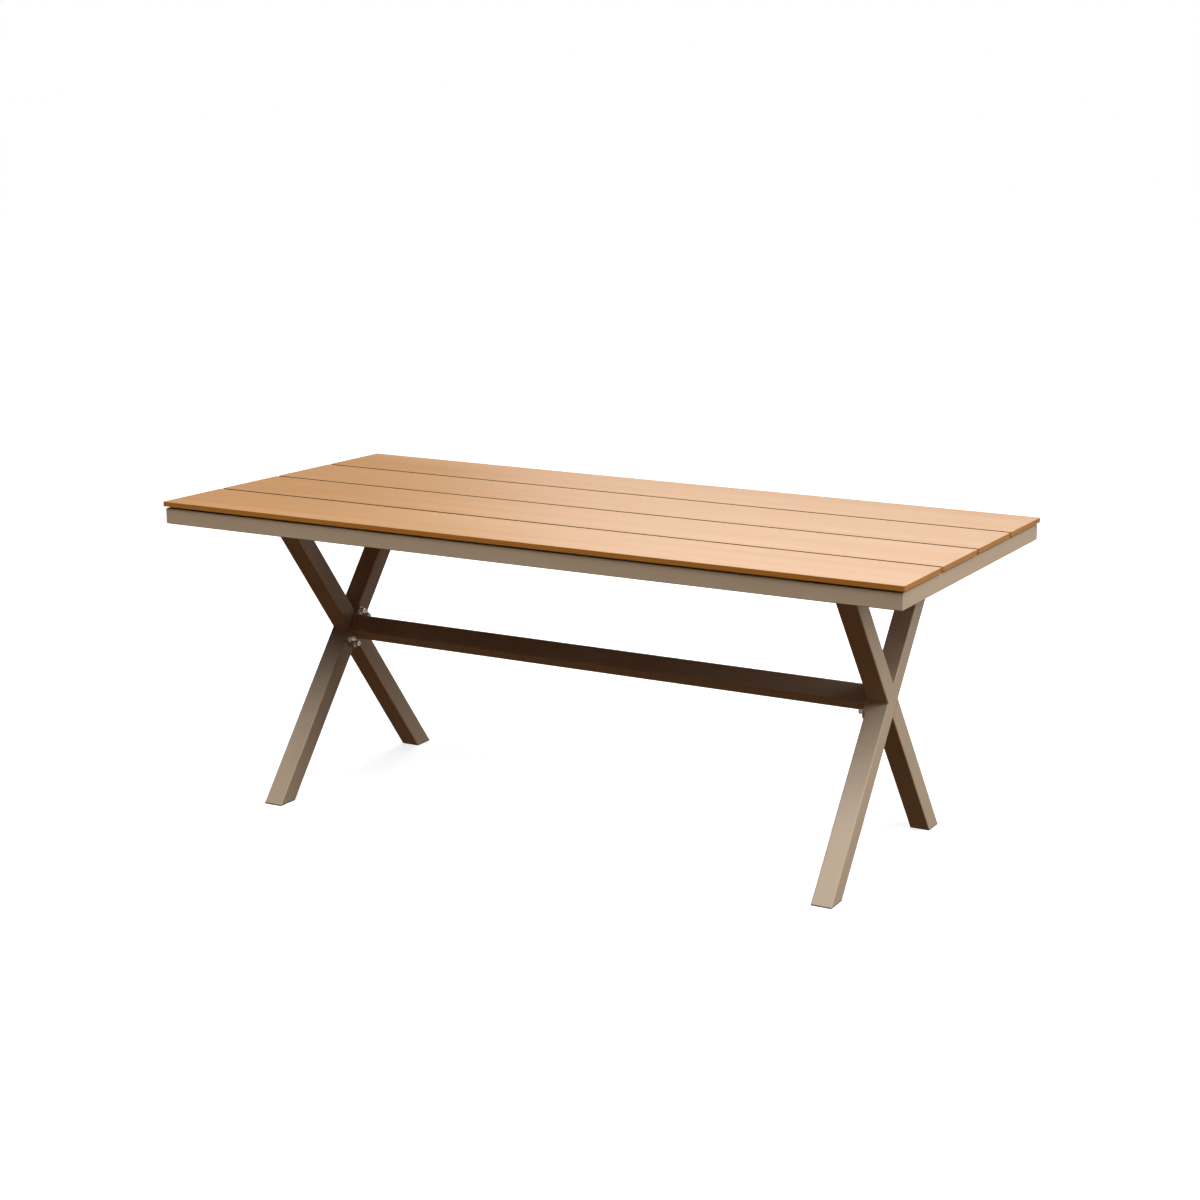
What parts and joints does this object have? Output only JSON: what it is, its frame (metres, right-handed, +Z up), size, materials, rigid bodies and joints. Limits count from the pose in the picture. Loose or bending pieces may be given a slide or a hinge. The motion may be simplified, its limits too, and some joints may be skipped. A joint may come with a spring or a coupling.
{
  "type": "outdoor dining table",
  "caption": "Long outdoor dining table with a slatted wood-look top on a metal apron frame, carried by two X-shaped trestle legs and a square stretcher set on edge.",
  "frame": {"origin": "on the floor under the middle of the top", "axes": "+X along the table, +Y across it towards the back, +Z up"},
  "size_m": [1.8, 0.84, 0.72],
  "materials": {
    "wood_look_board": "oiled teak look",
    "coated_frame": "fine satin powder coat",
    "coated_legs": "fine satin powder coat",
    "black_spacer": "matt",
    "foot_plastic": "matt",
    "stainless_fasteners": "bright stainless",
    "plated_inserts": "zinc plated"
  },
  "bodies": {
    "root": {"top_board_1": "wood_look_board", "top_board_2": "wood_look_board", "top_board_3": "wood_look_board", "top_board_4": "wood_look_board", "board_screws": "stainless_fasteners", "front_apron": "coated_frame", "back_apron": "coated_frame", "left_apron": "coated_frame", "left_leg_rail": "coated_frame", "left_leg_rail_spacer": "black_spacer", "left_apron_spacer": "black_spacer", "right_apron": "coated_frame", "right_leg_rail": "coated_frame", "right_leg_rail_spacer": "black_spacer", "right_apron_spacer": "black_spacer", "cross_rail_1": "coated_frame", "cross_rail_1_spacer": "black_spacer", "cross_rail_2": "coated_frame", "cross_rail_2_spacer": "black_spacer", "cross_rail_3": "coated_frame", "cross_rail_3_spacer": "black_spacer", "left_leg_long_bar": "coated_legs", "left_leg_lower_bar": "coated_legs", "left_leg_upper_bar": "coated_legs", "left_leg_top_plate": "coated_legs", "left_front_foot_plug": "foot_plastic", "left_back_foot_plug": "foot_plastic", "right_leg_long_bar": "coated_legs", "right_leg_lower_bar": "coated_legs", "right_leg_upper_bar": "coated_legs", "right_leg_top_plate": "coated_legs", "right_front_foot_plug": "foot_plastic", "right_back_foot_plug": "foot_plastic", "leg_screws": "stainless_fasteners", "leg_screw_spring_washers": "stainless_fasteners", "leg_screw_washers": "stainless_fasteners", "leg_screw_inserts": "plated_inserts", "stretcher_tube": "coated_legs", "left_stretcher_flange": "coated_legs", "right_stretcher_flange": "coated_legs", "stretcher_screws": "stainless_fasteners", "stretcher_spring_washers": "stainless_fasteners", "stretcher_washers": "stainless_fasteners", "stretcher_inserts": "plated_inserts"}
  },
  "joints": []
}
